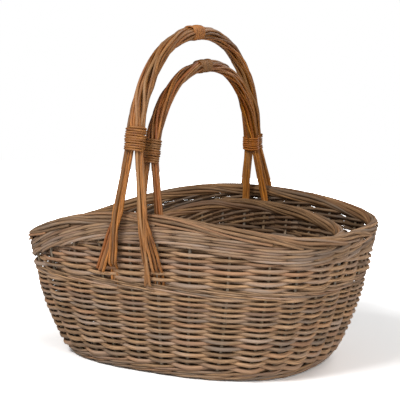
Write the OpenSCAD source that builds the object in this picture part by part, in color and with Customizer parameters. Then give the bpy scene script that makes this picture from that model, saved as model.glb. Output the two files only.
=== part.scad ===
// A nest of two oval willow trug baskets. Each has a woven body with a saddle-shaped rim and a
// tall hoop handle of twisted rods across its middle. The small basket stands loose in the large one.
// The origin is under the middle of the large basket, on the ground. X runs along the basket.

/* [Large basket] */
// Length over the rim
large_length = 560; // [500:5:640]
// Width over the rim, at the height of its right end
large_width = 375; // [340:1:420]
// Length of the base
large_base_length = 392; // [350:1:420]
// Width of the base
large_base_width = 306; // [280:1:320]
// Height of the rim at its right end
large_end_height = 221; // [200:1:260]
// Rise of the rim from its ends to the handle
rim_rise = 28; // [15:1:40]
// How far the left end of the rim lies below the right end
left_drop = 28; // [0:1:36]
// Height of the handle's centre line at its crown
handle_height = 507; // [460:1:560]

/* [Nest] */
// Space between the two rims at each end
nest_end_gap = 66; // [60:1:80]
// Space between the two rims at each side
nest_side_gap = 31; // [31:1:40]
// Difference in height between the two rims at their right ends
nest_rim_drop = 21; // [12:1:26]
// Height between the centre lines of the two crowns
nest_crown_drop = 51; // [48:1:60]
// Distance between the two handles at each side
nest_handle_gap = 26; // [26:1:32]
// How far the small basket stands to the right of the middle
nest_shift = 14; // [8:1:18]

/* [Weave] */
// Thickness of the woven wall
wall = 13.5; // [12:0.5:15]
// Radius of a stake
stake_r = 2.7; // [2:0.1:3]
// Thickness of the base
base_t = 15; // [13:0.5:18]
// Height of the base above the ground
base_lift = 3; // [2:0.5:5]
// Radius of a cross stick in the base
cross_stick_r = 5; // [4.4:0.1:5.4]
// Radius of a long stick in the base
long_stick_r = 3.2; // [2.6:0.1:3.4]
// Distance between cross sticks
stick_pitch = 46; // [40:1:50]
// Height of the lower weave, up to the wale at the shoulder
shoulder_z = 132; // [110:1:136]
// Height of the wale at the shoulder
shoulder_h = 12; // [8:1:16]
// Number of rows between the foot and the shoulder
side_rows = 26; // [18:1:26]
// Number of rows between the shoulder and the border
upper_rows = 12; // [8:1:12]
// How deep the rods lie where they pass behind a stake
behind_depth = 2.2; // [1:0.1:2.2]
// How deep the rods lie between two stakes
between_depth = 4; // [2:0.5:4]
// Height of the border
border_h = 20; // [16:1:24]
// Depth of the border from outside to inside
border_t = 17; // [15:0.5:17.5]
// How far the border stands out from the wall
border_bulge = 1.5; // [0.5:0.5:2]

/* [Handle] */
// Radius of a rod in the large handle, at its bindings
large_rod_r = 3.6; // [3:0.1:3.7]
// Radius of a rod in the small handle, at its bindings
small_rod_r = 3.1; // [2.8:0.1:3.1]
// Thickness of the rods at the crown, as a share of their thickness at the bindings
rod_taper = 0.8; // [0.7:0.01:0.9]
// Turn of the rods around each other, in eighths of a turn
twist_eighths = 17; // [8:1:20]
// Height of the middle of the near binding above the spring of the handle
near_bind_up = 46; // [40:1:52]
// Height of the middle of the large handle's far binding above its spring
large_far_bind_up = 12; // [10:1:30]
// Height of the middle of the small handle's far binding above its spring
small_far_bind_up = 32; // [10:1:40]
// Number of turns in a binding
bind_turns = 9; // [7:1:10]
// Thickness of the rod that a binding is wound from
bind_t = 3.6; // [3:0.1:3.8]
// Distance of each leg from the middle, where it passes the rim
leg_spread = 22; // [18:1:28]
// Distance of each leg from the middle, at its foot
foot_spread = 42; // [34:1:50]

/* [Hidden] */

// Fits
seat = 0.3;         // between pieces that rest on each other
border_seat = 0.6;  // between the border and the weave under it
base_fit = 0.6;     // between the base and the upsett around it
rod_end_gap = 0.5;  // from each end of a rod to the middle of its binding
stake_fit = 0.5;    // around a stake in its groove
stick_fit = 0.3;    // around a stick in the base
bind_fit = 0.4;     // between rods and their binding
leg_fit = 0.6;      // between a leg and the wall
rod_gap = 0.6;      // between neighbouring rods

// Stakes stand at these angles from the right end, on the near side and mirrored on the far side
stake_turns = [0, 14, 27, 38, 48, 60, 72, 83, 93, 104, 114, 125, 136, 149, 164, 180];
turn_back = len(stake_turns) - 2;
stake_angles = concat(stake_turns, [for (i = [turn_back:-1:1]) 360 - stake_turns[i]]);
stake_count = len(stake_angles);

// Shape of the body
base_round = 2.54;      // squareness of the plan at the base
rim_round = 3.1;        // squareness of the plan at the rim
flare = 0.494;          // how soon the wall opens: a lower power opens sooner
saddle = 1.43;          // how sharply the rim rises towards the handle
upsett_z = base_lift + base_t;

// One basket is [half base length, half base width, half rim length, half rim width, end height,
// place along X, place up, rod radius, half span of handle, spring height, crown height,
// height of the far binding above the spring, whether its rows show in relief]
large_half_w = large_width / 2;
small_base_share = (large_length - 2 * nest_end_gap) / large_length;
small_width_share = (large_width - 2 * nest_side_gap) / large_width;
small_z = upsett_z + seat;
function mid_width(base, rim, end_z) = base + (rim - base) * pow((end_z + rim_rise) / end_z, flare);
large_mid = mid_width(large_base_width / 2, large_half_w, large_end_height);
handle_lean = 12.5;     // how far the handle draws in from the rim to its spring
spring_rise = 61;       // from the top of the rim to the spring of the large handle
spring_drop = 20;       // how far the small handle springs below the large one
large_span = large_mid + border_bulge + leg_fit + 2 * large_rod_r + rod_gap / 2 - handle_lean;
spring_z = large_end_height + rim_rise + spring_rise;
large_basket = [
    large_base_length / 2, large_base_width / 2, large_length / 2, large_half_w, large_end_height,
    0, 0, large_rod_r, large_span, spring_z, handle_height, large_far_bind_up, true
];
small_basket = [
    small_base_share * large_base_length / 2, small_width_share * large_base_width / 2,
    large_length / 2 - nest_end_gap, large_half_w - nest_side_gap,
    large_end_height - nest_rim_drop - small_z, nest_shift, small_z,
    small_rod_r, large_span - nest_handle_gap, spring_z - spring_drop - small_z,
    handle_height - nest_crown_drop - small_z, small_far_bind_up, false
];

// Plan curve of squareness n, scaled to 1 by 1, in direction q
function plan(q, n) = [cos(q), sin(q)] / pow(pow(abs(cos(q)), n) + pow(abs(sin(q)), n), 1 / n);
// Height of the rim in direction q
function rim_z(b, q) =
    let (c = plan(q, rim_round)[0])
    b[4] + rim_rise * pow(max(0, 1 - c * c), saddle) - left_drop * pow(max(0, -c), 2);
function round_at(b, q, z) = base_round + (rim_round - base_round) * min(1, 2 * z / rim_z(b, q));
function open_at(b, z) = pow(max(z, 0) / b[4], flare);
// Half length and half width of the body at height z
function half_l(b, z) = b[0] + (b[2] - b[0]) * open_at(b, z);
function half_w(b, z) = b[1] + (b[3] - b[1]) * open_at(b, z);
// Point on the outside of the wall
function skin(b, q, z) =
    let (u = plan(q, round_at(b, q, z)))
    [u[0] * half_l(b, z), u[1] * half_w(b, z), z];
// Outward direction of the wall in plan
function outward(b, q, z) =
    let (d = skin(b, q + 0.5, z) - skin(b, q - 0.5, z), f = [d[1], -d[0], 0])
    f / norm(f);
function along(f) = [-f[1], f[0], 0];

// Closed mesh from equal rings of points, with the ends capped or joined in a loop
module ring_mesh(rings, loop = false) {
    n = len(rings[0]);
    m = len(rings);
    sides = [
        for (i = [0:m - (loop ? 1 : 2)]) for (k = [0:n - 1])
            let (a = i * n + k, b = i * n + (k + 1) % n, c = ((i + 1) % m) * n + (k + 1) % n)
            each [[a, b, c], [a, c, ((i + 1) % m) * n + k]]
    ];
    ends = loop ? [] : [[for (k = [n - 1:-1:0]) k], [for (k = [0:n - 1]) (m - 1) * n + k]];
    polyhedron([for (r = rings) each r], concat(sides, ends), convexity = 6);
}

// Round rod along points, with a radius for each point
module rod(points, radii) {
    m = len(points);
    sides = 5;
    ring_mesh([
        for (i = [0:m - 1])
            let (
                t0 = points[min(i + 1, m - 1)] - points[max(i - 1, 0)],
                t = t0 / norm(t0),
                u0 = [1, 0, 0] - t[0] * t,
                u = u0 / norm(u0),
                v = cross(t, u)
            )
            [
                for (k = [0:sides - 1])
                    let (a = 360 * k / sides)
                    points[i] + radii[i] * (cos(a) * u - sin(a) * v)
            ]
    ]);
}

// Height of a level in direction q. A level below zero is measured down from the rim
function level_z(b, q, level) = level < 0 ? rim_z(b, q) + level : level;
function next_angle(i) = i + 1 == stake_count ? 360 : stake_angles[i + 1];
function half_angle(i) = (stake_angles[i] + next_angle(i)) / 2;

// Outside of the wall on stake i and halfway to the next one, a share t of the way from one level
// to another. The two points lie under the skin by the two depths
function outer_pair(b, i, low, high, t, depths) = [
    for (k = [0, 1])
        let (
            q = k == 0 ? stake_angles[i] : half_angle(i),
            z = level_z(b, q, low) * (1 - t) + level_z(b, q, high) * t
        )
        skin(b, q, z) - outward(b, q, z) * depths[k]
];

// Inside of the wall at stake i and one level: four points around the groove
function inner_four(b, i, level) =
    let (
        q = stake_angles[i],
        z = level_z(b, q, level),
        f = outward(b, q, z),
        e = along(f) * (stake_r + stake_fit),
        g = skin(b, q, z) - f * (wall / 2 - stake_r - stake_fit),
        p = skin(b, q, z) - f * wall
    )
    [p - e, g - e, g + e, p + e];

// Ring of the wall between levels. With rows, its outside shows rods that pass in front of one
// stake and behind the next
module wall_ring(b, levels, rows = 0) {
    n = stake_count;
    last = len(levels) - 1;
    bands = rows == 0
        ? [for (z = levels) [z, z, 0, -1]]
        : concat(
            [[levels[0], levels[0], 0, -1]],
            [for (k = [0:rows - 1]) [levels[0], levels[last], (k + 0.5) / rows, k]],
            [[levels[last], levels[last], 0, -1]]
        );
    function depths(i, row) = row < 0 ? [0, 0] : [(i + row) % 2 == 0 ? 0 : behind_depth, between_depth];
    outer = [
        for (s = bands) for (i = [0:n - 1])
            each outer_pair(b, i, s[0], s[1], s[2], depths(i, s[3]))
    ];
    inner = [for (z = levels) for (i = [0:n - 1]) each inner_four(b, i, z)];
    top = len(bands) - 1;
    function out_at(l, i, k) = (l * n + (i + n) % n) * 2 + k;
    function in_at(l, i, k) = len(outer) + (l * n + (i + n) % n) * 4 + k;
    outsides = [
        for (l = [0:top - 1]) for (i = [0:n - 1]) for (k = [0, 1])
            let (
                a = out_at(l, i, k), c = out_at(l, i + k, 1 - k),
                d = out_at(l + 1, i + k, 1 - k), e = out_at(l + 1, i, k)
            )
            each [[a, d, c], [a, e, d]]
    ];
    insides = [
        for (l = [0:last - 1]) for (i = [0:n - 1]) for (k = [0:3])
            let (
                j = k == 3 ? i + 1 : i, m = (k + 1) % 4,
                a = in_at(l, i, k), c = in_at(l, j, m), d = in_at(l + 1, j, m), e = in_at(l + 1, i, k)
            )
            each [[a, c, d], [a, d, e]]
    ];
    function lid(lo, li, i) =
        let (
            a = out_at(lo, i - 1, 1), c = out_at(lo, i, 0), d = out_at(lo, i, 1),
            p = [for (k = [0:3]) in_at(li, i, k)]
        )
        [
            [a, c, p[1]], [a, p[1], p[0]], [a, p[0], in_at(li, i - 1, 3)], [c, p[2], p[1]],
            [c, d, p[2]], [d, p[3], p[2]]
        ];
    bottom = [for (i = [0:n - 1]) each lid(0, 0, i)];
    lids = [for (i = [0:n - 1]) for (f = lid(top, last, i)) [f[2], f[1], f[0]]];
    polyhedron(concat(outer, inner), concat(outsides, insides, bottom, lids), convexity = 10);
}

lower_levels = [upsett_z + seat, 0.45 * shoulder_z, shoulder_z];
upsett_levels = [0, 2.5, 9, upsett_z];
shoulder_levels = [shoulder_z + seat, shoulder_z + shoulder_h];
upper_levels = [shoulder_z + shoulder_h + seat, -border_h - border_seat];
function scaled_levels(b, levels) = [for (z = levels) z <= upsett_z + seat ? z : z * body_share(b)];
function body_share(b) = b[4] / large_end_height;

module upsett_wale(b) {
    wall_ring(b, upsett_levels);
}

module side_weave(b) {
    wall_ring(b, scaled_levels(b, lower_levels), b[12] ? side_rows : 0);
}

module shoulder_wale(b) {
    wall_ring(b, scaled_levels(b, shoulder_levels));
}

module upper_weave(b) {
    wall_ring(b, [scaled_levels(b, upper_levels)[0], upper_levels[1]], b[12] ? upper_rows : 0);
}

// Stakes stand in the grooves, from the base to the underside of the border
module stakes(b) {
    sides = 5;
    upper = scaled_levels(b, [lower_levels[1], lower_levels[2]]);
    heights = concat([upsett_levels[1], upsett_levels[2], upsett_z], upper);
    for (q = stake_angles) {
        levels = concat(heights, [rim_z(b, q) - border_h - border_seat]);
        ring_mesh([
            for (z = levels)
                let (c = skin(b, q, z) - outward(b, q, z) * wall / 2)
                [for (k = [0:sides - 1]) c + stake_r * [cos(-360 * k / sides), sin(-360 * k / sides), 0]]
        ]);
    }
}

// Border: a rounded band that follows the rim
module border(b) {
    out = border_bulge;
    in = border_bulge - border_t;
    section = [
        [out - 2, -border_h], [out, -border_h / 2], [out - 4, 0],
        [in + 4, 0], [in, -border_h / 2], [in + 2, -border_h]
    ];
    angles = [
        for (i = [0:stake_count - 1])
            let (q = stake_angles[i], r = i + 1 == stake_count ? 360 : stake_angles[i + 1])
            each [q, (q + r) / 2]
    ];
    ring_mesh([
        for (q = angles)
            let (z = rim_z(b, q), s = skin(b, q, z), f = outward(b, q, z))
            [for (c = section) s + f * c[0] + [0, 0, c[1]]]
    ], true);
}

// Base: a woven plate between the upsett, on long sticks that pass through the cross sticks
module base_plate(b) {
    ring_mesh([
        for (z = [base_lift, upsett_levels[2], upsett_z])
            [
                for (i = [stake_count - 1:-1:0])
                    let (p = inner_four(b, i, z), f = outward(b, stake_angles[i], z) * base_fit)
                    each [p[3] - f, p[0] - f]
            ]
    ]);
}

stick_z = base_lift + base_t / 2;
cross_places = [for (i = [-3:3]) i];
long_places = [for (i = [-1:1]) i];
function stick_step(b) = stick_pitch * b[0] / large_basket[0];
// Half length of a stick that lies off the middle of an oval of half size across by half size long
function stick_half(off, across, long) =
    long * pow(1 - pow(off / across, base_round), 1 / base_round) - wall - 5;
function cross_half(b, i) = stick_half(abs(i) * stick_step(b), half_l(b, base_lift), half_w(b, base_lift));
function long_half(b, i) = stick_half(abs(i) * stick_step(b), half_w(b, base_lift), half_l(b, base_lift));

module cross_sticks(b, grow) {
    for (i = cross_places) {
        h = 2 * (cross_half(b, i) + grow);
        translate([i * stick_step(b), 0, stick_z])
            rotate([90, 0, 0])
                cylinder(r = cross_stick_r + grow, h = h, center = true, $fn = 32);
    }
}

module long_sticks(b, grow) {
    for (i = long_places) {
        h = 2 * (long_half(b, i) + grow);
        translate([0, i * stick_step(b), stick_z])
            rotate([0, 90, 0])
                cylinder(r = long_stick_r + grow, h = h, center = true, $fn = 32);
    }
}

module base_cross_sticks(b) {
    difference() {
        cross_sticks(b, 0);
        long_sticks(b, stick_fit);
    }
}

module base_weave(b) {
    difference() {
        base_plate(b);
        cross_sticks(b, stick_fit);
        long_sticks(b, stick_fit);
    }
}

// Handle: the arch is a rounded hoop in the plane across the basket
arch_round = 2.2;
open_length = 45;       // from the end of a binding to where the rods lie in a full ring
bow_steps = 20;
grid_end = 1.53;        // place of the end rods of the grid in a binding, in pitches from its middle
leg_place = (grid_end + 0.5) / 2;
function grid(b) = 2 * b[7] + rod_gap;
function ring_r(b) = grid(b) / (2 * sin(22.5));
function bind_h() = bind_turns * (bind_t + 0.3);
function arch(b, q) =
    let (n = pow(pow(abs(cos(q)), arch_round) + pow(abs(sin(q)), arch_round), 1 / arch_round))
    [-b[8] * cos(q) / n, b[9] + (b[10] - b[9]) * sin(q) / n];
// Angle on the arch that lies up above the spring
function arch_angle(b, up) =
    let (t = up / (b[10] - b[9]))
    atan2(t, pow(1 - pow(t, arch_round), 1 / arch_round));
function near_q(b) = arch_angle(b, near_bind_up);
function far_q(b) = 180 - arch_angle(b, b[11]);
function heading(b, q) = let (d = arch(b, q + 1) - arch(b, q - 1)) d / norm(d);

// Centre line of the bow, from the middle of the near binding to the middle of the far one
function bow_line(b) =
    let (
        qn = near_q(b), qf = far_q(b), pn = arch(b, qn), pf = arch(b, qf),
        tn = heading(b, qn), tf = heading(b, qf), reach = bind_h() / 2 + 3,
        step = reach / (b[8] * 0.95) * 57,
        q0 = qn + step + 2,
        q1 = qf - step - 2
    )
    concat(
        [pn + tn * rod_end_gap, pn + tn * reach],
        [for (i = [0:bow_steps]) arch(b, q0 + (q1 - q0) * i / bow_steps)],
        [pf - tf * reach, pf - tf * rod_end_gap]
    );

// Place of a rod in the bundle: in a flat grid at the bindings, in a ring above them
function in_grid(b, q) =
    let (g = grid(b))
    [sign(cos(q)) * (abs(cos(q)) > 0.7 ? grid_end : 0.5) * g, sign(sin(q)) * g / 2];
function in_ring(b, q) = ring_r(b) * [cos(q), sin(q)];
function run(line, i) = i == 0 ? 0 : run(line, i - 1) + norm(line[i] - line[i - 1]);
function smooth(t) = let (c = min(1, max(0, t))) c * c * (3 - 2 * c);

function bow_rod(b, line, runs, j) =
    let (m = len(line), total = runs[m - 1], start = bind_h() / 2 + 3)
    [
        for (i = [0:m - 1])
            let (
                d = line[min(i + 1, m - 1)] - line[max(i - 1, 0)],
                t = d / norm(d),
                s = runs[i],
                u = smooth((min(s, total - s) - start) / open_length),
                w = min(1, max(0, (s - start - open_length) / (total - 2 * start - 2 * open_length))),
                q = 22.5 + 45 * j + 45 * twist_eighths * w,
                k = thin(s / total),
                o = (in_grid(b, q) * (1 - u) + in_ring(b, q) * u) * k
            )
            [b[5] + o[0], line[i][0] - t[1] * o[1], b[6] + line[i][1] + t[0] * o[1]]
    ];
function thin(share) = 1 - (1 - rod_taper) * smooth(1.4 - 2.8 * abs(share - 0.5));

module bow_rods(b) {
    line = bow_line(b);
    runs = [for (i = [0:len(line) - 1]) run(line, i)];
    radii = [for (s = runs) b[7] * thin(s / runs[len(runs) - 1])];
    for (j = [0:7]) {
        rod(bow_rod(b, line, runs, j), radii);
    }
}

// Core of the bow: it fills the middle of the ring and thins out towards the bindings
module bow_core(b) {
    line = bow_line(b);
    m = len(line);
    runs = [for (i = [0:m - 1]) run(line, i)];
    total = runs[m - 1];
    start = bind_h() / 2 + 3;
    function free(s) =
        let (u = smooth((min(s, total - s) - start) / open_length))
        (norm(in_grid(b, 67.5) * (1 - u) + in_ring(b, 67.5) * u) - b[7] - 0.6) * thin(s / total);
    rod(
        [for (i = [1:m - 2]) [b[5], line[i][0], b[6] + line[i][1]]],
        [for (i = [1:m - 2]) free(runs[i])]
    );
}

module rounded(x, y, r) {
    square([2 * (x + r), 2 * y], center = true);
    square([2 * x, 2 * (y + r)], center = true);
    for (i = [-1, 1]) for (j = [-1, 1]) translate([i * x, j * y]) circle(r = r, $fn = 32);
}

// Binding wound around the rods where a pair of legs meets
module binding(b, q) {
    p = arch(b, q);
    t = heading(b, q);
    x = grid_end * grid(b);
    y = grid(b) / 2;
    inner = b[7] + bind_fit;
    h = bind_h();
    translate([b[5], p[0], b[6] + p[1]])
        rotate([-atan2(t[0], t[1]), 0, 0])
            difference() {
                union() {
                    linear_extrude(h, center = true) rounded(x, y, inner + 0.6 * bind_t);
                    for (i = [0:bind_turns - 1])
                        translate([0, 0, -h / 2 + i * h / bind_turns + 0.3])
                            linear_extrude(h / bind_turns - 0.6) rounded(x, y, inner + bind_t);
                }
                linear_extrude(h + 2, center = true) rounded(x, y, inner);
            }
}

// Wrap of one rod around the crown
module crown_wrap(b) {
    inner = (ring_r(b) + b[7]) * rod_taper + bind_fit;
    outer = inner + 2.4;
    half = 9;
    turns = 4;
    step = 2 * half / turns;
    profile = concat(
        [[inner, -half]],
        [for (i = [0:turns - 1]) each [
            [outer - 0.8, -half + i * step], [outer, -half + (i + 0.25) * step],
            [outer, -half + (i + 0.75) * step], [outer - 0.8, -half + (i + 1) * step]
        ]],
        [[inner, half]]
    );
    top = arch(b, 90);
    translate([b[5], 0, b[6] + top[1]])
        rotate([90, 0, 0])
            rotate_extrude($fn = 48) polygon(profile);
}

left_foot_z = 162;      // height of the feet of the left legs on the large basket
right_foot_z = 148;

// Leg: four rods in a square bundle, from the wall below the rim up into the binding.
// side is -1 near and 1 far, hand is -1 left and 1 right
module leg(b, side, hand) {
    q = side < 0 ? near_q(b) : far_q(b);
    g = grid(b);
    p = arch(b, q);
    t = heading(b, q) * -side;
    reach = bind_h() / 2 + 3;
    foot = body_share(b) * (hand < 0 ? left_foot_z : right_foot_z);
    rim = b[4] + rim_rise;
    off = border_bulge + leg_fit + g / 2 + b[7];
    spread = body_share(b) * leg_spread;
    wide = body_share(b) * foot_spread;
    low = [for (i = [0:3]) let (s = i / 3, z = foot + (rim - foot) * s) [
        hand * (wide + (spread - wide) * sin(90 * s)),
        side * (half_w(b, z) + off), z
    ]];
    bind_low = p - t * reach;
    bind_mid = p - t * rod_end_gap;
    high = [
        [hand * leg_place * g, bind_low[0], bind_low[1]],
        [hand * leg_place * g, bind_mid[0], bind_mid[1]]
    ];
    line = concat(low, high);
    for (i = [-1, 1]) for (j = [-1, 1]) {
        place = [b[5] + i * (grid_end - leg_place) * g, j * g / 2, b[6]];
        rod([for (c = line) c + place], [for (c = line) b[7]]);
    }
}

// The body pieces are drawn around the origin and stand at the basket's own place
module placed(b) {
    translate([b[5], 0, b[6]]) children();
}

weave_tint = "#8f7355";
wale_tint = "#7f664b";
upper_tint = "#987a58";
border_tint = "#8a7050";
stake_tint = "#7d6f5f";
rod_tint = "#a4672f";
wrap_tint = "#a8713c";
core_tint = "#8a5427";

module large_base_cross_sticks() { color(stake_tint) placed(large_basket) base_cross_sticks(large_basket); }
module large_base_long_sticks() { color(stake_tint) placed(large_basket) long_sticks(large_basket, 0); }
module large_base_weave() { color(weave_tint) placed(large_basket) base_weave(large_basket); }
module large_upsett_wale() { color(wale_tint) placed(large_basket) upsett_wale(large_basket); }
module large_stakes() { color(stake_tint) placed(large_basket) stakes(large_basket); }
module large_side_weave() { color(weave_tint) placed(large_basket) side_weave(large_basket); }
module large_shoulder_wale() { color(wale_tint) placed(large_basket) shoulder_wale(large_basket); }
module large_upper_weave() { color(upper_tint) placed(large_basket) upper_weave(large_basket); }
module large_border() { color(border_tint) placed(large_basket) border(large_basket); }
module large_near_left_leg() { color(rod_tint) leg(large_basket, -1, -1); }
module large_near_right_leg() { color(rod_tint) leg(large_basket, -1, 1); }
module large_far_left_leg() { color(rod_tint) leg(large_basket, 1, -1); }
module large_far_right_leg() { color(rod_tint) leg(large_basket, 1, 1); }
module large_near_binding() { color(wrap_tint) binding(large_basket, near_q(large_basket)); }
module large_far_binding() { color(wrap_tint) binding(large_basket, far_q(large_basket)); }
module large_bow_core() { color(core_tint) bow_core(large_basket); }
module large_bow_rods() { color(rod_tint) bow_rods(large_basket); }
module large_crown_wrap() { color(wrap_tint) crown_wrap(large_basket); }

module small_base_cross_sticks() { color(stake_tint) placed(small_basket) base_cross_sticks(small_basket); }
module small_base_long_sticks() { color(stake_tint) placed(small_basket) long_sticks(small_basket, 0); }
module small_base_weave() { color(weave_tint) placed(small_basket) base_weave(small_basket); }
module small_upsett_wale() { color(wale_tint) placed(small_basket) upsett_wale(small_basket); }
module small_stakes() { color(stake_tint) placed(small_basket) stakes(small_basket); }
module small_side_weave() { color(weave_tint) placed(small_basket) side_weave(small_basket); }
module small_shoulder_wale() { color(wale_tint) placed(small_basket) shoulder_wale(small_basket); }
module small_upper_weave() { color(upper_tint) placed(small_basket) upper_weave(small_basket); }
module small_border() { color(border_tint) placed(small_basket) border(small_basket); }
module small_near_left_leg() { color(rod_tint) leg(small_basket, -1, -1); }
module small_near_right_leg() { color(rod_tint) leg(small_basket, -1, 1); }
module small_far_left_leg() { color(rod_tint) leg(small_basket, 1, -1); }
module small_far_right_leg() { color(rod_tint) leg(small_basket, 1, 1); }
module small_near_binding() { color(wrap_tint) binding(small_basket, near_q(small_basket)); }
module small_far_binding() { color(wrap_tint) binding(small_basket, far_q(small_basket)); }
module small_bow_core() { color(core_tint) bow_core(small_basket); }
module small_bow_rods() { color(rod_tint) bow_rods(small_basket); }
module small_crown_wrap() { color(wrap_tint) crown_wrap(small_basket); }

large_base_cross_sticks();
large_base_long_sticks();
large_base_weave();
large_upsett_wale();
large_stakes();
large_side_weave();
large_shoulder_wale();
large_upper_weave();
large_border();
large_near_left_leg();
large_near_right_leg();
large_far_left_leg();
large_far_right_leg();
large_near_binding();
large_far_binding();
large_bow_core();
large_bow_rods();
large_crown_wrap();
small_base_cross_sticks();
small_base_long_sticks();
small_base_weave();
small_upsett_wale();
small_stakes();
small_side_weave();
small_shoulder_wale();
small_upper_weave();
small_border();
small_near_left_leg();
small_near_right_leg();
small_far_left_leg();
small_far_right_leg();
small_near_binding();
small_far_binding();
small_bow_core();
small_bow_rods();
small_crown_wrap();
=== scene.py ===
# %% [markdown]
# # A nest of two willow trug baskets
# The imported model is loaded as a fixed frame. It gives the true size and place of each part.
# The solids are plain rings and rods, so each one is replaced here by the woven rods it stands for.
# The solids of the plain model are kept in the scene, hidden.

# %% Load the frame
import math
import random
import bmesh
import bpy
import numpy as np
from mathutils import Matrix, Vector


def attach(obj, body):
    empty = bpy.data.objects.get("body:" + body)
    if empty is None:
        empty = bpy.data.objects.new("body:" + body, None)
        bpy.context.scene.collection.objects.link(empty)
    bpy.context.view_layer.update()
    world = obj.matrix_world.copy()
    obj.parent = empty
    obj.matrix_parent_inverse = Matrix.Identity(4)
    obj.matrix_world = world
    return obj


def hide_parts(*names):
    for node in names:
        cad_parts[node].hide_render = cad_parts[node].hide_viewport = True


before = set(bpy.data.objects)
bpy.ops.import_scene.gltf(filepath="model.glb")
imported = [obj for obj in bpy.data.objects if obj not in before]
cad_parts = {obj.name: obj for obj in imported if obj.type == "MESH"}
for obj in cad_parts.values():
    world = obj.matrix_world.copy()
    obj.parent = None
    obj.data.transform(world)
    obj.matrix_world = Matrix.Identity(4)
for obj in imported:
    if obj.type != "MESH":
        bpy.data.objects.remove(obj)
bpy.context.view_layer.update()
print("nodes:", len(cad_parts))

# %% [markdown]
# ## The shape of a basket
# Both baskets have the same shape at two sizes: an oval that grows from the base to the rim,
# a rim that rises to the handle, and thirty stakes around it. A few curves describe all of it.
# The sizes are those of the solids, in millimetres. MM turns them into metres at the end.

# %% Sizes of the two baskets
MM = 0.001
LARGE_END = 221
FOOT_TOP, SIDE_TOP, SHOULDER_TOP = 18, 132, 144
large = dict(name="large", base=(196, 153), rim=(280, 187.5), end=221, x=0, z=0,
             rod=3.6, crown=507, near_up=46, far_up=12, lean=0)
share = (280 - 66) / 280
small = dict(name="small", base=(196 * share, 153 * (187.5 - 31) / 187.5), rim=(214, 156.5),
             end=181.7, x=14, z=18.3, rod=3.1, crown=456 - 18.3, near_up=46, far_up=32, lean=5)
large_mid = 153 + 34.5 * (249 / 221) ** 0.494
large["span"] = large_mid + 1.5 + 0.6 + 2 * 3.6 + 0.3 - 12.5
large["spring"] = 221 + 28 + 61
small["span"] = large["span"] - 26
small["spring"] = large["spring"] - 20 - 18.3
baskets = [large, small]
print("half span of the handles:", round(large["span"], 1), round(small["span"], 1))

# %% Curves of the body
WALL = 13.5
RISE, DROP = 28, 28


def plan(q, n):
    c, s = np.cos(q), np.sin(q)
    d = (np.abs(c) ** n + np.abs(s) ** n) ** (1 / n)
    return c / d, s / d


def rim_z(b, q):
    c = plan(q, 3.1)[0]
    turned = np.mod(q, 2 * np.pi)
    uneven = 5 * np.exp(-((turned - 2.3) / 0.4) ** 2) - 8 * np.exp(-((turned - 3.84) / 0.4) ** 2)
    return b["end"] + RISE * np.maximum(0, 1 - c * c) ** 1.43 - DROP * np.maximum(-c, 0) ** 2 + uneven


def skin(b, q, z):
    round_at = 2.54 + 0.56 * np.minimum(1, 2 * z / rim_z(b, q))
    open_at = (np.maximum(z, 0) / b["end"]) ** 0.494
    c, s = plan(q, round_at)
    x = c * (b["base"][0] + (b["rim"][0] - b["base"][0]) * open_at)
    y = s * (b["base"][1] + (b["rim"][1] - b["base"][1]) * open_at)
    return np.stack([x, y, z + 0 * q], axis=-1)


def way_out(b, q, z):
    # the way out of the wall, square to its slope
    z = np.maximum(z, 25)
    along = skin(b, q + 0.01, z) - skin(b, q - 0.01, z)
    out = np.cross(along, skin(b, q, z + 2) - skin(b, q, z - 2))
    return out / np.linalg.norm(out, axis=-1, keepdims=True)


def in_wall(b, q, z, out):
    # a point at height z, moved out from the middle of the wall, in the row's frame
    q, z = np.asarray(q, float), np.asarray(z, float)
    sloped = way_out(b, q, z)
    level = sloped * [1, 1, 0]
    level /= np.linalg.norm(level, axis=-1, keepdims=True)
    points = skin(b, q, z) - level * WALL / 2 + sloped * np.asarray(out, float)[..., None]
    return points + [b["x"], 0, b["z"]]


def on_wall(b, x, z, out, side):
    # the same, for a distance x along the basket on its near side (-1) or far side (1)
    n = 2.54 + 0.56 * np.minimum(1, 2 * z / (b["end"] + RISE))
    half = b["base"][0] + (b["rim"][0] - b["base"][0]) * (z / b["end"]) ** 0.494
    c = x / half
    return in_wall(b, np.arctan2(side * (1 - np.abs(c) ** n) ** (1 / n), c), z, out)


def smooth(t):
    t = np.clip(t, 0, 1)
    return t * t * (3 - 2 * t)


stake_turns = [0, 14, 27, 38, 48, 60, 72, 83, 93, 104, 114, 125, 136, 149, 164, 180]
stake_angles = np.radians(stake_turns + [360 - a for a in stake_turns[-2::-1]])
STAKES = len(stake_angles) - 1


def angle_at(u):
    # u counts stakes around the basket from its right end
    turns, part = np.floor_divide(u, STAKES), np.mod(u, STAKES)
    return np.interp(part, np.arange(STAKES + 1), stake_angles) + turns * 2 * np.pi


print("stakes in each basket:", STAKES)

# %% [markdown]
# ## Rods
# Everything in a willow basket is a rod: long, round, thicker at its butt than at its tip.
# A curve with a round bevel is the easiest rod, because each point has its own radius.
# The curves are made into meshes, and their open ends are filled. Each point then gets two
# attributes: its place on the rod, for the grain, and three numbers of the rod, for its colour.

# %% A helper that makes a bundle of rods
SIDES = 8
dice = random.Random(7)


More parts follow.
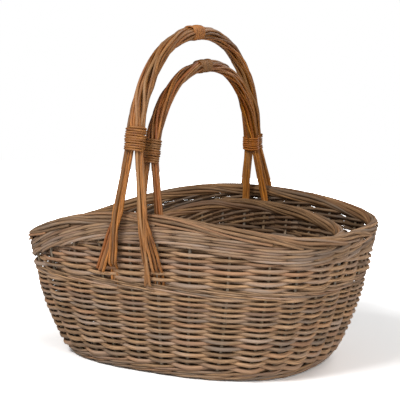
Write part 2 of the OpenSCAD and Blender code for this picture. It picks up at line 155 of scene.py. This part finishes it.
def make_rods(name, rods):
    # rods: pairs of points in mm and radii in mm
    curve = bpy.data.curves.new(name, "CURVE")
    curve.dimensions = "3D"
    curve.bevel_depth = 1.0
    curve.bevel_resolution = (SIDES - 4) // 2
    place, tone = [], []
    turn = np.arange(SIDES) * 2 * np.pi / SIDES
    for points, radii in rods:
        line = curve.splines.new("POLY")
        line.points.add(len(points) - 1)
        line.points.foreach_set("co", np.c_[points * MM, np.ones(len(points))].ravel())
        line.points.foreach_set("radius", radii * MM)
        steps = np.linalg.norm(np.diff(points, axis=0), axis=1)
        run = np.append(0, np.cumsum(steps)) + dice.uniform(0, 4000)
        around = np.outer(radii, np.cos(turn)), np.outer(radii, np.sin(turn))
        place.append(np.stack([np.repeat(run[:, None], SIDES, 1), *around], axis=-1).reshape(-1, 3))
        tone.append(np.tile([dice.random(), dice.random(), dice.random()], (len(points) * SIDES, 1)))
    holder = bpy.data.objects.new(name + "_curve", curve)
    bpy.context.scene.collection.objects.link(holder)
    graph = bpy.context.evaluated_depsgraph_get()
    mesh = bpy.data.meshes.new_from_object(holder.evaluated_get(graph))
    bpy.data.objects.remove(holder)
    for label, values in (("rod_place", place), ("rod_tone", tone)):
        layer = mesh.attributes.new(label, "FLOAT_VECTOR", "POINT")
        layer.data.foreach_set("vector", np.concatenate(values).ravel())
    bm = bmesh.new()
    bm.from_mesh(mesh)
    bmesh.ops.holes_fill(bm, edges=[edge for edge in bm.edges if edge.is_boundary], sides=SIDES)
    for face in bm.faces:
        face.smooth = len(face.verts) == 4
    bm.to_mesh(mesh)
    bm.free()
    mesh.name = name
    piece = bpy.data.objects.new(name, mesh)
    bpy.context.scene.collection.objects.link(piece)
    print(name, len(rods), "rods,", len(mesh.polygons), "faces")
    return piece


# %% [markdown]
# ## Willow
# One node group makes bark for all the rods. It reads the place on the rod, so the streaks run
# along it, with a darker band where a bud was. Three numbers of the rod make some rods redder,
# some greyer and some darker than their neighbours. A side that faces the middle of the basket is
# painted darker and a little more saturated: partly willow that is less bleached there, partly
# painted shade inside the basket. The colours and that painted shade are inputs of the group.

# %% Helpers for the bark
def node(tree, kind, at, **values):
    made = tree.nodes.new(kind)
    made.location = at
    for key, value in values.items():
        setattr(made, key, value)
    return made


def connect(tree, value, socket):
    if hasattr(value, "is_linked"):
        tree.links.new(value, socket)
    else:
        socket.default_value = value


def stretched(tree, where, scale, detail, at):
    # noise drawn out along the rod
    mapping = node(tree, "ShaderNodeMapping", at)
    mapping.inputs["Scale"].default_value = scale
    tree.links.new(where, mapping.inputs["Vector"])
    noise = node(tree, "ShaderNodeTexNoise", (at[0] + 200, at[1]))
    noise.inputs["Scale"].default_value = 1.0
    noise.inputs["Detail"].default_value = detail
    tree.links.new(mapping.outputs[0], noise.inputs["Vector"])
    return noise.outputs["Fac"]


def ramp(tree, value, low, high, at, start=0.0, stop=1.0):
    made = node(tree, "ShaderNodeMapRange", at)
    for label, number in (("From Min", low), ("From Max", high), ("To Min", start), ("To Max", stop)):
        connect(tree, number, made.inputs[label])
    tree.links.new(value, made.inputs["Value"])
    return made.outputs[0]


def product(tree, first, second, at):
    made = node(tree, "ShaderNodeMath", at, operation="MULTIPLY")
    connect(tree, first, made.inputs[0])
    connect(tree, second, made.inputs[1])
    return made.outputs[0]


def mixed(tree, first, second, factor, at):
    made = node(tree, "ShaderNodeMix", at, data_type="RGBA")
    connect(tree, factor, made.inputs[0])
    connect(tree, first, made.inputs[6])
    connect(tree, second, made.inputs[7])
    return made.outputs[2]


# %% Bark node group
bark = bpy.data.node_groups.new("willow_bark", "ShaderNodeTree")
for label in ("Light", "Dark", "Red", "Grey"):
    bark.interface.new_socket(label, in_out="INPUT", socket_type="NodeSocketColor")
bark.interface.new_socket("Inside", in_out="INPUT", socket_type="NodeSocketFloat")
bark.interface.new_socket("Color", in_out="OUTPUT", socket_type="NodeSocketColor")
bark.interface.new_socket("Height", in_out="OUTPUT", socket_type="NodeSocketFloat")
tints = node(bark, "NodeGroupInput", (-600, 600)).outputs
result = node(bark, "NodeGroupOutput", (1000, 200)).inputs
where = node(bark, "ShaderNodeAttribute", (-1200, 300), attribute_name="rod_place").outputs["Vector"]
tone = node(bark, "ShaderNodeAttribute", (-1200, -300), attribute_name="rod_tone").outputs["Vector"]
own = node(bark, "ShaderNodeSeparateXYZ", (-1000, -300))
bark.links.new(tone, own.inputs[0])
reddish, greyish, darkish = own.outputs

# how far a spot faces away from the middle of the basket: 1 outside, -1 inside
spot = node(bark, "ShaderNodeTexCoord", (-1400, -700)).outputs["Object"]
level = node(bark, "ShaderNodeVectorMath", (-1200, -700), operation="MULTIPLY")
level.inputs[1].default_value = (1, 1, 0)
bark.links.new(spot, level.inputs[0])
away = node(bark, "ShaderNodeVectorMath", (-1000, -700), operation="NORMALIZE")
bark.links.new(level.outputs[0], away.inputs[0])
facing = node(bark, "ShaderNodeVectorMath", (-800, -600), operation="DOT_PRODUCT")
bark.links.new(node(bark, "ShaderNodeNewGeometry", (-1000, -500)).outputs["Normal"], facing.inputs[0])
bark.links.new(away.outputs[0], facing.inputs[1])
facing = facing.outputs["Value"]

streak = stretched(bark, where, (0.05, 0.9, 0.9), 3, (-900, 500))
patch = stretched(bark, where, (0.02, 0.12, 0.12), 2, (-900, 250))
bud = stretched(bark, where, (0.16, 0.02, 0.02), 1, (-900, 0))
base = mixed(bark, tints["Dark"], tints["Light"], ramp(bark, streak, 0.3, 0.7, (-400, 500)), (-200, 500))
base = mixed(bark, base, tints["Red"], ramp(bark, reddish, 0.5, 1.3, (-400, 250)), (0, 400))
patches = ramp(bark, patch, 0.3, 0.6, (-400, -300))
worn = product(bark, ramp(bark, greyish, 0.2, 1.2, (-400, -50)), patches, (-200, -50))
base = mixed(bark, base, tints["Grey"], worn, (200, 300))
ringed = ramp(bark, bud, 0.70, 0.74, (0, 0), 0.0, 0.6)
base = mixed(bark, base, tints["Dark"], ringed, (400, 200))
shade = node(bark, "ShaderNodeHueSaturation", (700, 200))
own_value = ramp(bark, darkish, 0, 1, (300, -100), 0.64, 1.28)
# painted shade: a side that faces the middle of the basket is made darker, down to the share given by the
# material; it partly stands for less bleached willow there
inward_shade = ramp(bark, facing, -0.5, 0.5, (300, -300), tints["Inside"], 1.0)
bark.links.new(product(bark, own_value, inward_shade, (500, -100)), shade.inputs["Value"])
# with that painted shade, the inward side is also made a little more saturated
bark.links.new(ramp(bark, facing, -0.5, 0.5, (500, -300), 1.08, 1.0), shade.inputs["Saturation"])
bark.links.new(base, shade.inputs["Color"])
bark.links.new(shade.outputs[0], result["Color"])
bark.links.new(streak, result["Height"])


# %% The kinds of willow
def willow(name, colours, inside, roughness, bump):
    # colours: light, dark, red and grey, as they look on a screen
    # inside: the brightness left on a side that faces the middle of the basket, a painted shade that partly
    # stands for less bleached willow
    material = bpy.data.materials.new(name)
    material.use_nodes = True
    tree = material.node_tree
    shader = tree.nodes["Principled BSDF"]
    group = node(tree, "ShaderNodeGroup", (-500, 0), node_tree=bark)
    for label, colour in zip(("Light", "Dark", "Red", "Grey"), colours):
        group.inputs[label].default_value = (*[(c / 255) ** 2.2 for c in colour], 1)
    group.inputs["Inside"].default_value = inside
    tree.links.new(group.outputs["Color"], shader.inputs["Base Color"])
    raised = node(tree, "ShaderNodeBump", (-250, -200))
    raised.inputs["Strength"].default_value = bump
    raised.inputs["Distance"].default_value = 0.0006
    tree.links.new(group.outputs["Height"], raised.inputs["Height"])
    tree.links.new(raised.outputs[0], shader.inputs["Normal"])
    shader.inputs["Roughness"].default_value = roughness
    print("material:", name)
    return material


weathered_colours = (206, 164, 122), (114, 84, 60), (174, 128, 98), (162, 144, 130)
border_colours = (194, 150, 108), (98, 70, 46), (164, 116, 84), (152, 132, 114)
stake_colours = (188, 166, 138), (120, 102, 80), (160, 128, 98), (174, 164, 152)
handle_colours = (204, 134, 68), (84, 45, 20), (154, 84, 44), (170, 130, 90)
binding_colours = (204, 138, 72), (112, 60, 28), (160, 92, 48), (164, 124, 80)
# the number after the colours is the painted shade on the inward side; 1.0 paints none
weathered = willow("weathered willow", weathered_colours, 0.5, 0.7, 0.6)
border_bark = willow("border willow", border_colours, 0.76, 0.7, 0.7)
stake_bark = willow("grey stake", stake_colours, 0.7, 0.8, 0.6)
handle_bark = willow("handle willow", handle_colours, 1.0, 0.5, 0.5)
binding_bark = willow("binding willow", binding_colours, 1.0, 0.5, 0.4)


# %% Dress a piece
def dress(piece, b, material, slot, *nodes):
    piece.data.materials.clear()
    piece.data.materials.append(material)
    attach(piece, b["name"] + "_basket")
    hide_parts(*[b["name"] + "_" + label for label in nodes])


# %% [markdown]
# ## Weaving
# A zone of the wall is a stack of rows. The thickness of each row is followed round the basket,
# and the rows are stacked by these thicknesses, so thick butts and thin tips make the rows wander
# as they do in a real wall. A plain row is one rod at a time, in front of one stake and behind
# the next. A wale has three strands, each in front of two stakes and behind one.

# %% Stack the rows of a zone
STEP = 8
all_u = np.arange(STAKES * STEP) / STEP


def rounded(values):
    # the mean over two stakes, going round
    kernel = np.hanning(2 * STEP + 3)[1:-1]
    n = len(values)
    return np.convolve(np.tile(values, 3), kernel / kernel.sum(), mode="same")[n:2 * n]


def at_u(values, u):
    return np.interp(np.mod(u, STAKES) * STEP, np.arange(len(values) + 1), np.append(values, values[0]))


def stack(rows, low, high):
    # the middle height and the thickness of each row, at each step round the basket
    shares = []
    for row in rows:
        size = np.full(len(all_u), float(row["thick"]))
        for start, stop, butt, tip in row["rods"]:
            for turn in (-STAKES, 0, STAKES):
                u = all_u + turn
                inside = (u >= start) & (u < stop)
                size[inside] = butt + (tip - butt) * (u[inside] - start) / (stop - start)
        shares.append(rounded(size * row["present"]))
    shares = np.array(shares)
    q = angle_at(all_u)
    shares *= (high(q) - low(q)) / shares.sum(axis=0)
    return np.cumsum(shares, axis=0) - shares / 2 + low(q), shares


# a rod bends round a stake: half the stake, and a little less than its own radius
STAKE_HALF, BEND = 2.3, 0.92


def strand(b, u, z, wave, size, fat):
    # one rod along the wall: wave goes from 1 in front of a stake to -1 behind it
    q = angle_at(u)
    slope = np.linalg.norm(way_out(b, q, z)[:, :2], axis=1)
    radii = size / 2 * fat / slope
    return in_wall(b, q, z, wave * (STAKE_HALF + BEND * radii)), radii


def plain_strands(b, row, middle, size):
    made = []
    for start, stop, butt, tip in row["rods"]:
        u = np.arange(round((start - 0.4) * STEP), round((stop + 0.4) * STEP) + 1) / STEP
        here = at_u(row["present"], u) > 0.5
        for run in np.split(np.arange(len(u)), np.flatnonzero(np.diff(here)) + 1):
            v = u[run]
            if len(v) < 2 * STEP or not here[run[0]]:
                continue
            inside = smooth(np.minimum(v - v[0], v[-1] - v) / 0.7)
            wave = (1 + np.cos(np.pi * (v + row["side"]))) * inside - 1
            fat = row["fat"] * (0.92 + 0.1 * wave * wave)
            made.append(strand(b, v, at_u(middle, v), wave, at_u(size, v), fat))
    return made


def wale_strands(b, row, middle, size):
    made = []
    for first in range(3):
        start = first + dice.choice((0, 3, 6))
        end = start + STAKES
        while start < end:
            stop = min(start + dice.choice((9, 12, 12, 15)), end)
            u = np.arange(round((start - 0.2) * STEP), round((stop + 0.2) * STEP) + 1) / STEP
            phase = np.mod(u - first, 3)
            wave = 2 * smooth(np.minimum(phase, 3 - phase) / 0.9) - 1
            climb = np.interp(phase, [0, 0.5, 2.5, 3], [0, -1, 1, 0])
            thick = at_u(size, u)
            z = at_u(middle, u) + row["slant"] * thick * 0.48 * climb
            fat = row["fat"] * dice.uniform(0.46, 0.54) * (1.06 - 0.12 * (u - start) / (stop - start))
            made.append(strand(b, u, z, wave, thick, fat))
            start = stop
    return made


def weave_zone(b, rows, low, high):
    rods = []
    for row, middle, size in zip(rows, *stack(rows, low, high)):
        weave = plain_strands if row["rods"] else wale_strands
        rods += weave(b, row, middle, size)
    return rods


# %% Kinds of rows
def plain_rows(sizes, length, taper=0.84, fat=1.22, vary=0.07):
    rows = []
    for k, thick in enumerate(sizes):
        side = k % 2
        first = start = dice.randrange(0, STAKES // 2) * 2 + 1 + side
        rods = []
        while start < first + STAKES:
            stop = start + length + dice.choice((-2, 0, 2))
            if first + STAKES - stop < 6:
                stop = first + STAKES
            butt = thick * dice.uniform(1 - vary, 1 + vary) / taper ** 0.5
            rods.append((start, stop, butt, butt * taper))
            start = stop
        rows.append(dict(rods=rods, thick=thick, side=side, fat=fat, present=np.ones(len(all_u))))
    return rows


def wales(count, thick, slant, fat=1.0):
    return [dict(rods=[], thick=thick, slant=slant, fat=fat, present=np.ones(len(all_u)))] * count


def flat(z):
    return lambda q: np.full_like(q, z)


# %% Foot, side and shoulder of both baskets
FOOT_LOW = 3.5
SIDE_ROWS = 26
# the thickness of the lowest and the highest plain row
ROW_SIZES = 5.2, 3.7
for b in baskets:
    share = b["end"] / LARGE_END
    side_top, top = SIDE_TOP * share, SHOULDER_TOP * share
    rods = weave_zone(b, wales(2, 8, 1), flat(FOOT_LOW), flat(FOOT_TOP))
    dress(make_rods(b["name"] + "_foot_wale", rods), b, weathered, "weathered_willow", "upsett_wale")
    rows = plain_rows(np.linspace(*ROW_SIZES, round(SIDE_ROWS * share)), 12)
    rods = weave_zone(b, rows, flat(FOOT_TOP), flat(side_top))
    dress(make_rods(b["name"] + "_side_rods", rods), b, weathered, "weathered_willow", "side_weave")
    rods = weave_zone(b, wales(2, 6, -1), flat(side_top), flat(top))
    dress(make_rods(b["name"] + "_shoulder_wales", rods), b, weathered, "weathered_willow", "shoulder_wale")

# %% [markdown]
# ## The upper wall
# The rim rises towards the handle, so the wall above the shoulder is deeper there than at the
# ends. Short rows that turn back before the ends fill the difference, and wales close it.

# %% Upper wall
BORDER = 17.5
WALES, WALE = 3, 8
PACK = 4.7


def packing(b, low, high):
    depth = high(angle_at(all_u)) - low(angle_at(all_u)) - WALES * WALE
    rows = plain_rows([PACK] * max(1, round(depth.max() / PACK)), 10, fat=1.2, vary=0.16)
    for k, row in enumerate(rows[1:], 1):
        row["present"] = (depth > (k + 0.6) * PACK).astype(float)
    return rows


def under_border(b):
    return lambda q: rim_z(b, q) - BORDER


for b in baskets:
    low, high = flat(SHOULDER_TOP * b["end"] / LARGE_END), under_border(b)
    rods = weave_zone(b, packing(b, low, high) + wales(WALES, WALE, 1, 1.06), low, high)
    dress(make_rods(b["name"] + "_upper_rods", rods), b, weathered, "weathered_willow", "upper_weave")

# %% [markdown]
# ## Stakes and border
# The stakes stand in the middle of the wall. At the top each is laid down along the rim and
# rolled with its neighbours, so the border is a rope of long rods whose tips are cut off.

# %% Stakes
for b in baskets:
    stakes = []
    for q in stake_angles[:-1]:
        z = np.linspace(3, float(rim_z(b, q)) - BORDER - 0.6, 30)
        stakes.append((in_wall(b, np.full(30, q), z, np.zeros(30)), np.linspace(2.6, 2.2, 30)))
    dress(make_rods(b["name"] + "_stake_rods", stakes), b, stake_bark, "stake_willow", "stakes")

# %% Border
LAID = 9
# the middle of the border, below the rim
BORDER_MIDDLE = 10
for b in baskets:
    rods = []
    for i in range(STAKES):
        length = LAID + dice.choice((-1, -1, 0, 1))
        u = i + np.arange(0, length * STEP + 1) / STEP
        part = (u - i) / length
        turn = -np.pi / 2 + 2 * np.pi * (u - i) / LAID + 0.25 * np.sin(2.1 * u + i)
        swell = smooth((u - i) / 0.8) * (1 + 0.05 * np.sin(1.3 * u + 2.4 * i))
        out = 5.4 * np.cos(turn) * -swell + 1.6 * smooth(part * 8 - 7)
        z = rim_z(b, angle_at(u)) - BORDER_MIDDLE + 7.2 * np.sin(turn) * (0.96 + 0.04 * swell)
        radii = dice.uniform(0.9, 1.1) * (2.9 - 0.9 * part)
        rods.append((in_wall(b, angle_at(u), z, out), radii))
    for side in (0, np.pi):
        u = np.append(all_u, STAKES)
        z = rim_z(b, angle_at(u)) - BORDER_MIDDLE + 2.4 * np.sin(u * 0.7 + side)
        rods.append((in_wall(b, angle_at(u), z, 2.4 * np.cos(u * 0.7 + side)), np.full(len(u), 3.0)))
    dress(make_rods(b["name"] + "_border_rods", rods), b, border_bark, "weathered_willow", "border")

# %% [markdown]
# ## The handle
# A hoop of long rods rises from both sides of the rim. Low down, each side has two legs of a few
# rods, bound together above the rim. Above the bindings the rods of the hoop twist together.

# %% The line of a handle
def arch(b, q):
    y, z = plan(q, 2.2)
    x = b["x"] - b["lean"] * (1 - z)
    return np.stack([x, -b["span"] * y, b["z"] + b["spring"] + (b["crown"] - b["spring"]) * z], axis=-1)


def angle_up(b, up):
    t = up / (b["crown"] - b["spring"])
    return math.atan2(t, (1 - t ** 2.2) ** (1 / 2.2))


def binding_angle(b, side):
    near = side < 0
    angle = angle_up(b, b["near_up" if near else "far_up"])
    return angle if near else math.pi - angle


def across(line):
    # two directions square to a line that stays in the plane across the basket, and its own
    tangent = np.gradient(line, axis=0)
    tangent /= np.linalg.norm(tangent, axis=1, keepdims=True)
    side = np.tile([1.0, 0, 0], (len(line), 1))
    return side, np.cross(side, tangent), tangent


# %% Bows
TWIST = 520
# rods in the outer layer, the inner layer and the middle, and how far out each layer is
LAYERS = (12, 1.0), (7, 0.55), (1, 0.0)
for b in baskets:
    line = arch(b, np.linspace(binding_angle(b, -1), binding_angle(b, 1), 130))
    side, lift, _ = across(line)
    run = np.append(0, np.cumsum(np.linalg.norm(np.diff(line, axis=0), axis=1)))
    part = run / run[-1]
    thin = 1 - 0.2 * smooth(1.4 - 2.8 * np.abs(part - 0.5))
    bundle = (2 * b["rod"] + 0.6) / (2 * math.sin(math.radians(22.5))) + b["rod"]
    flatter = 1 - smooth(np.minimum(run, run[-1] - run) / 60)
    rods = []
    for count, depth in LAYERS:
        for j in range(count):
            size = bundle / 13.8 * dice.uniform(2.1, 2.9)
            slow, late = dice.uniform(80, 170), dice.uniform(0, 7)
            turn = 2 * np.pi * (j / count + run / TWIST) + 0.2 * np.sin(2 * np.pi * run / slow + late)
            sunk = 1 - 0.16 * smooth(2 * np.sin(2 * np.pi * run / 190 + 2.4 * j + late) - 0.6)
            radius = (bundle - size) * depth * thin * sunk
            points = line + side * (np.cos(turn) * radius * (1 + 0.08 * flatter))[:, None]
            points = points + lift * (np.sin(turn) * radius * (1 - 0.2 * flatter))[:, None]
            butt = dice.choice((part, 1 - part))
            rods.append((points, size * thin * (0.9 + 0.18 * butt)))
    dress(make_rods(b["name"] + "_bow", rods), b, handle_bark, "handle_willow", "bow_rods", "bow_core")


# %% Bindings and crown wraps
def coil(b, at, wide, deep, turns, pitch, radius):
    # a thin rod wound round the handle at one angle of its line
    line = arch(b, np.array([at - 0.01, at, at + 0.01]))
    side, lift, tangent = [way[1] for way in across(line)]
    angle = np.linspace(0, 2 * np.pi * turns, int(turns * 30))
    late = dice.uniform(0, 7)
    c, s = plan(angle, 2.6)
    swell = 0.35 * np.sin(angle * 0.83 + late)
    up = (angle / (2 * np.pi) - turns / 2) * pitch + 0.3 * np.sin(angle * 1.37 + late)
    points = line[1] + np.outer(c * (wide + swell), side) + np.outer(s * (deep + swell), lift)
    points = points + np.outer(up, tangent)
    return [(points, radius * (1 + 0.1 * np.sin(angle * 0.31 + late)))]


for b in baskets:
    pitch = 2 * b["rod"] + 0.6
    wide, deep = 1.84 * pitch, 1.3 * pitch
    for label, side, turns in (("near", -1, 9.3), ("far", 1, 6.4)):
        rods = coil(b, binding_angle(b, side), wide, deep, turns, 3.6, 1.7)
        piece = make_rods(b["name"] + "_" + label + "_binding_coil", rods)
        dress(piece, b, binding_bark, "binding_willow", label + "_binding")
    crown = (pitch / (2 * math.sin(math.radians(22.5))) + b["rod"]) * 0.8 - 0.6
    rods = coil(b, math.pi / 2 - 0.07, crown, crown, 9.4, 3.3, 1.3)
    dress(make_rods(b["name"] + "_crown_coil", rods), b, binding_bark, "binding_willow", "crown_wrap")

# %% [markdown]
# ## Legs
# Each leg is seven rods that run down the outside of the wall. Some are cut off there, with
# their tips side by side. The others go in between the rows and end inside the wall.

# %% Legs
TUCK = 36
# where each rod ends, in mm from the middle of the handle and above the floor, and if it goes in
left_feet = [(-43, 168, 1), (-69, 160, 0), (-38, 169, 1), (-65, 157, 0), (-33, 167, 1), (-61, 159, 0),
             (-57, 156, 0)]
right_feet = [(17, 176, 1), (33, 164, 1), (25, 142, 0), (40, 165, 1), (21, 145, 0), (47, 166, 1),
              (17, 142, 0)]


def leg_rod(b, side, hand, place, foot):
    share = b["end"] / LARGE_END
    scale = b["rod"] / large["rod"]
    end_x, end_z, goes_in = foot
    end, rim = end_z * share, b["end"] + RISE
    z = np.linspace(end - TUCK * goes_in, rim, 30)
    down = np.clip((rim - z) / (rim - end), 0, 1)
    cross = 2 * np.pi * place / 7 - 0.9 * down
    spread = scale * ((place - 3) * (1.9 + 0.55 * smooth(2 * down)) + 0.8 * np.sin(2.1 * place + 5 * down))
    front = 0 if goes_in else 1.2 + 2.4 * (place % 2)
    deep = scale * 1.7 * (1 + np.sin(cross)) * (-1) ** place * (1 - down) - front * down
    start = hand * share * 21.5 + spread
    x = start + (end_x * share - start) * down ** 0.95
    out = WALL / 2 + 8.6 - 2.6 * smooth(2 * down - 0.6) + deep
    if goes_in:
        inwards = 1 - smooth((z - end + 7) / 13)
        out = out * (1 - inwards) + 0.5
        x = x - 5.5 * inwards
    low = on_wall(b, x, z, out, side)
    bind = arch(b, np.array([binding_angle(b, side)]))[0]
    pitch = 2 * b["rod"] + 0.6
    packed = [hand * 0.8 * pitch + spread[-1] * 0.8, side * deep[-1], 0]
    reach = np.linspace(0, 1, 11)[1:, None]
    bowed = 0.9 * scale * np.sin(np.pi * reach) * np.cos(2.4 * place) * [1, 0, 0]
    high = low[-1] * (1 - reach) + (bind + packed) * reach + bowed
    points = np.concatenate([low, high])
    return points, 2.35 * scale * dice.uniform(0.84, 1.12) * np.linspace(0.86, 1.06, len(points))


for b in baskets:
    for label, side in (("near", -1), ("far", 1)):
        for hand_label, hand, feet in (("left", -1, left_feet), ("right", 1, right_feet)):
            rods = [leg_rod(b, side, hand, place, foot) for place, foot in enumerate(feet)]
            leg = label + "_" + hand_label + "_leg"
            dress(make_rods(b["name"] + "_" + leg + "_rods", rods), b, handle_bark, "handle_willow", leg)

# %% [markdown]
# ## The base
# The base is an oval of rods woven over and under thick cross sticks and thinner long ones.

# %% Base
RINGS = 25
BASE_MIDDLE = 10.5
for b in baskets:
    pitch = 46 * b["base"][0] / 196
    q = np.linspace(0, 2 * np.pi, 241)
    edge = in_wall(b, q, np.full_like(q, 8.0), np.full_like(q, -WALL / 2 - 3.4))
    reach = edge[:, :2] - [b["x"], 0]
    rods = []
    for k in range(RINGS):
        ring = reach * (1 - (k + 0.3) / RINGS)
        crossed = []
        for axis, most in ((0, 3), (1, 1)):
            at = ring[:, axis] / pitch
            crossed += [i for i in np.flatnonzero(np.diff(np.floor(at))) if abs(round(at[i])) <= most]
        wave = np.cos(np.pi * (np.interp(np.arange(len(q)), sorted(crossed), np.arange(len(crossed))) + k))
        points = np.c_[ring + [b["x"], 0], b["z"] + BASE_MIDDLE + 3.2 * wave]
        rods.append((points, np.full(len(q), 2.5)))
    dress(make_rods(b["name"] + "_base_rods", rods), b, weathered, "weathered_willow", "base_weave")
    for label, axis, most, radius in (("cross", 0, 3, 5.0), ("long", 1, 1, 3.2)):
        sticks = []
        for i in range(-most, most + 1):
            near = np.abs(reach[:, axis] - i * pitch)
            length = np.abs(reach[near < np.sort(near)[3], 1 - axis]).min() - 2
            points = np.zeros((12, 3)) + [b["x"], 0, b["z"] + BASE_MIDDLE]
            points[:, axis] += i * pitch
            points[:, 1 - axis] += np.linspace(-length, length, 12)
            sticks.append((points, np.full(12, radius)))
        piece = make_rods(b["name"] + "_base_" + label + "_rods", sticks)
        dress(piece, b, stake_bark, "stake_willow", "base_" + label + "_sticks")

# %% [markdown]
# ## Studio
# A pale floor that is white to the camera and keeps the shadow, soft light from above and the
# left, a weaker lamp on each other side, and a camera at the height of a table at the near right.

# %% Floor and light
bpy.ops.mesh.primitive_plane_add(size=4)
floor = bpy.context.object
floor.name = "floor"
paper = bpy.data.materials.new("studio paper")
paper.use_nodes = True
tree = paper.node_tree
shader = tree.nodes["Principled BSDF"]
shader.inputs["Roughness"].default_value = 0.9
seen = node(tree, "ShaderNodeLightPath", (-600, 0)).outputs["Is Camera Ray"]
spot = node(tree, "ShaderNodeTexCoord", (-1000, -200)).outputs["Object"]
distance = node(tree, "ShaderNodeVectorMath", (-800, -200), operation="LENGTH")
tree.links.new(spot, distance.inputs[0])
# the lamps fade with distance, so the paper gets whiter there, and stays plain under the shadow
fading = ramp(tree, distance.outputs["Value"], 0.45, 1.5, (-600, -200), 1.7, 7.5)
white = mixed(tree, (0.8, 0.8, 0.8, 1), fading, seen, (-300, 0))
tree.links.new(white, shader.inputs["Base Color"])
floor.data.materials.append(paper)

world = bpy.data.worlds.new("studio")
bpy.context.scene.world = world
world.use_nodes = True
tree = world.node_tree
back = tree.nodes["Background"]
back.inputs["Color"].default_value = (1, 1, 1, 1)
seen = node(tree, "ShaderNodeLightPath", (-600, 0)).outputs["Is Camera Ray"]
tree.links.new(ramp(tree, seen, 0, 1, (-300, 0), 0.18, 1.0), back.inputs["Strength"])


def lamp(name, at, size, power):
    data = bpy.data.lights.new(name, "AREA")
    data.size = size
    data.energy = power
    made = bpy.data.objects.new(name, data)
    made.location = at
    made.rotation_euler = (Vector((0, 0, 0.2)) - Vector(at)).to_track_quat("-Z", "Y").to_euler()
    bpy.context.scene.collection.objects.link(made)


lamp("key", (-0.5, -2.2, 2.5), 1.1, 63)
lamp("fill", (2.3, -1.4, 1.3), 1.4, 29)
lamp("back", (0.6, 2.6, 1.8), 1.6, 26)

# %% Camera
azimuth, elevation, distance = math.radians(30), math.radians(8.17), 2.0
target = Vector((0.0023 * math.cos(azimuth), 0.0023 * math.sin(azimuth), 0.2438))
towards = Vector((math.sin(azimuth) * math.cos(elevation), -math.cos(azimuth) * math.cos(elevation),
                  math.sin(elevation)))
camera = bpy.data.objects.new("camera", bpy.data.cameras.new("camera"))
camera.data.lens = 113.5
camera.data.sensor_width = 36
camera.location = target + towards * distance
camera.rotation_euler = (-towards).to_track_quat("-Z", "Y").to_euler()
bpy.context.scene.collection.objects.link(camera)
bpy.context.scene.camera = camera
bpy.context.scene.view_settings.view_transform = "Standard"
